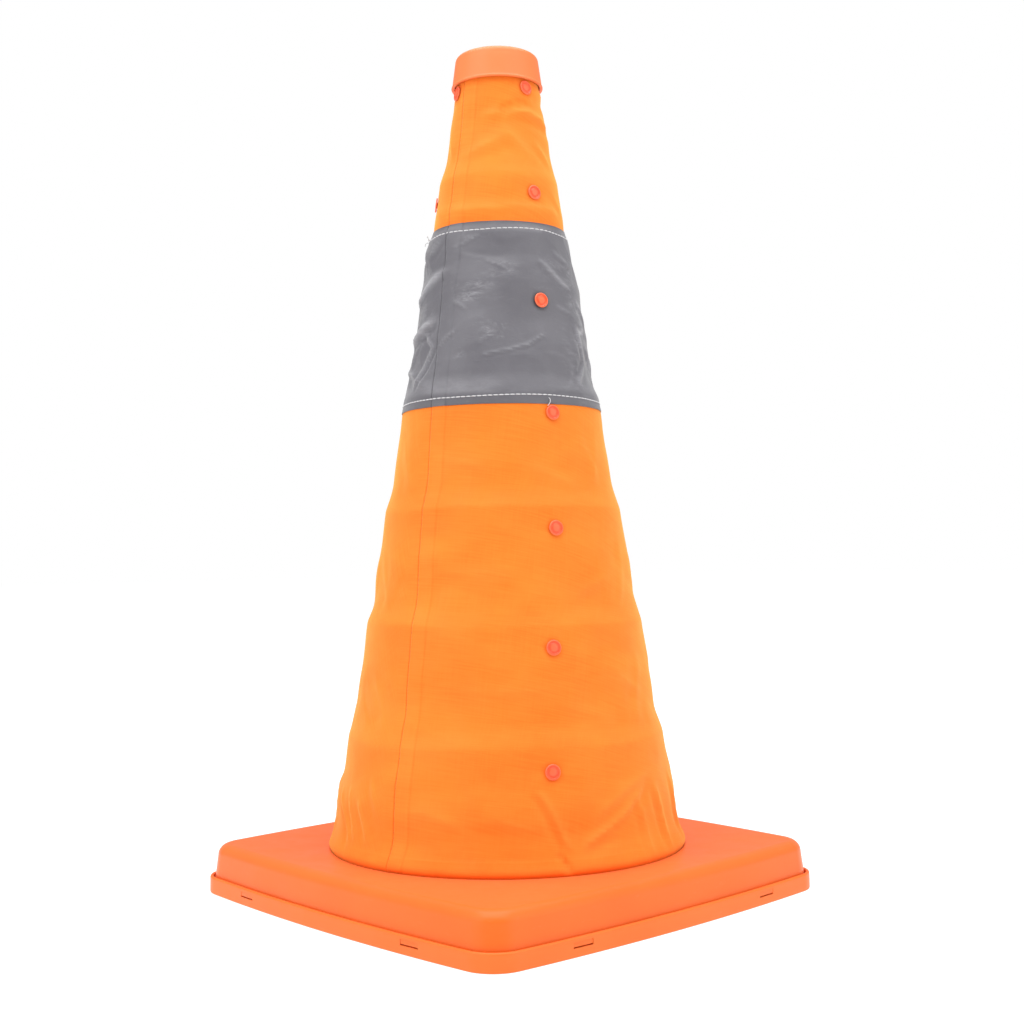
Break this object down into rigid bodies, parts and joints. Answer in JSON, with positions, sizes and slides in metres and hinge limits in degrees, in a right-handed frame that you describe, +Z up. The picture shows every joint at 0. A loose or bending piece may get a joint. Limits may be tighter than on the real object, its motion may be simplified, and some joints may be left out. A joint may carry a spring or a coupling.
{
  "type": "collapsible traffic cone",
  "caption": "Pull-up safety cone: square plastic base, telescoping rings under a sewn orange fabric sleeve with a reflective band, and a moulded top cap.",
  "frame": {"origin": "centre of the base's resting face", "axes": "+Z up along the cone's axis; the base's sides lie along X and Y"},
  "size_m": [0.2716, 0.2716, 0.496],
  "materials": {
    "base_plastic": "smooth moulded, slightly satin",
    "cap_plastic": "smooth moulded, slightly satin",
    "inner_plastic": "moulded, matte",
    "rivet_plastic": "moulded, satin",
    "sleeve_fabric": "coated plain-weave polyester",
    "reflective_band": "retroreflective tape, scuffed",
    "screw_steel": "zinc plated"
  },
  "bodies": {
    "base": {"base_tray": "base_plastic", "base_cover": "base_plastic", "hem_clamp_ring": "inner_plastic", "clamp_screws": "screw_steel", "base_screws": "screw_steel", "hem": "sleeve_fabric"},
    "ring_7": {"ring_7": "inner_plastic", "rivets_7": "rivet_plastic", "sleeve_7": "sleeve_fabric"},
    "ring_6": {"ring_6": "inner_plastic", "rivets_6": "rivet_plastic", "sleeve_6": "sleeve_fabric"},
    "ring_5": {"ring_5": "inner_plastic", "rivets_5": "rivet_plastic", "sleeve_5": "sleeve_fabric"},
    "ring_4": {"ring_4": "inner_plastic", "rivets_4": "rivet_plastic", "sleeve_4": "sleeve_fabric", "band_lower": "reflective_band"},
    "ring_3": {"ring_3": "inner_plastic", "rivets_3": "rivet_plastic", "sleeve_3": "sleeve_fabric", "band_middle": "reflective_band"},
    "ring_2": {"ring_2": "inner_plastic", "rivets_2": "rivet_plastic", "sleeve_2": "sleeve_fabric", "band_upper": "reflective_band"},
    "ring_1": {"ring_1": "inner_plastic", "rivets_1": "rivet_plastic", "sleeve_1": "sleeve_fabric", "cap": "cap_plastic"}
  },
  "joints": [
    {"name": "ring_7_slide", "type": "slide", "parent": "base", "child": "ring_7", "axis": [0, 0, 1], "range_m": [-0.017, 0], "deforming": ["sleeve_7"]},
    {"name": "ring_6_slide", "type": "slide", "parent": "ring_7", "child": "ring_6", "axis": [0, 0, 1], "range_m": [-0.065, 0], "deforming": ["sleeve_6"]},
    {"name": "ring_5_slide", "type": "slide", "parent": "ring_6", "child": "ring_5", "axis": [0, 0, 1], "range_m": [-0.065, 0], "deforming": ["sleeve_5"]},
    {"name": "ring_4_slide", "type": "slide", "parent": "ring_5", "child": "ring_4", "axis": [0, 0, 1], "range_m": [-0.065, 0], "deforming": ["sleeve_4"]},
    {"name": "ring_3_slide", "type": "slide", "parent": "ring_4", "child": "ring_3", "axis": [0, 0, 1], "range_m": [-0.065, 0], "deforming": ["sleeve_3", "band_middle"]},
    {"name": "ring_2_slide", "type": "slide", "parent": "ring_3", "child": "ring_2", "axis": [0, 0, 1], "range_m": [-0.065, 0], "deforming": ["sleeve_2", "band_upper"]},
    {"name": "ring_1_slide", "type": "slide", "parent": "ring_2", "child": "ring_1", "axis": [0, 0, 1], "range_m": [-0.065, 0], "deforming": ["sleeve_1"]}
  ]
}
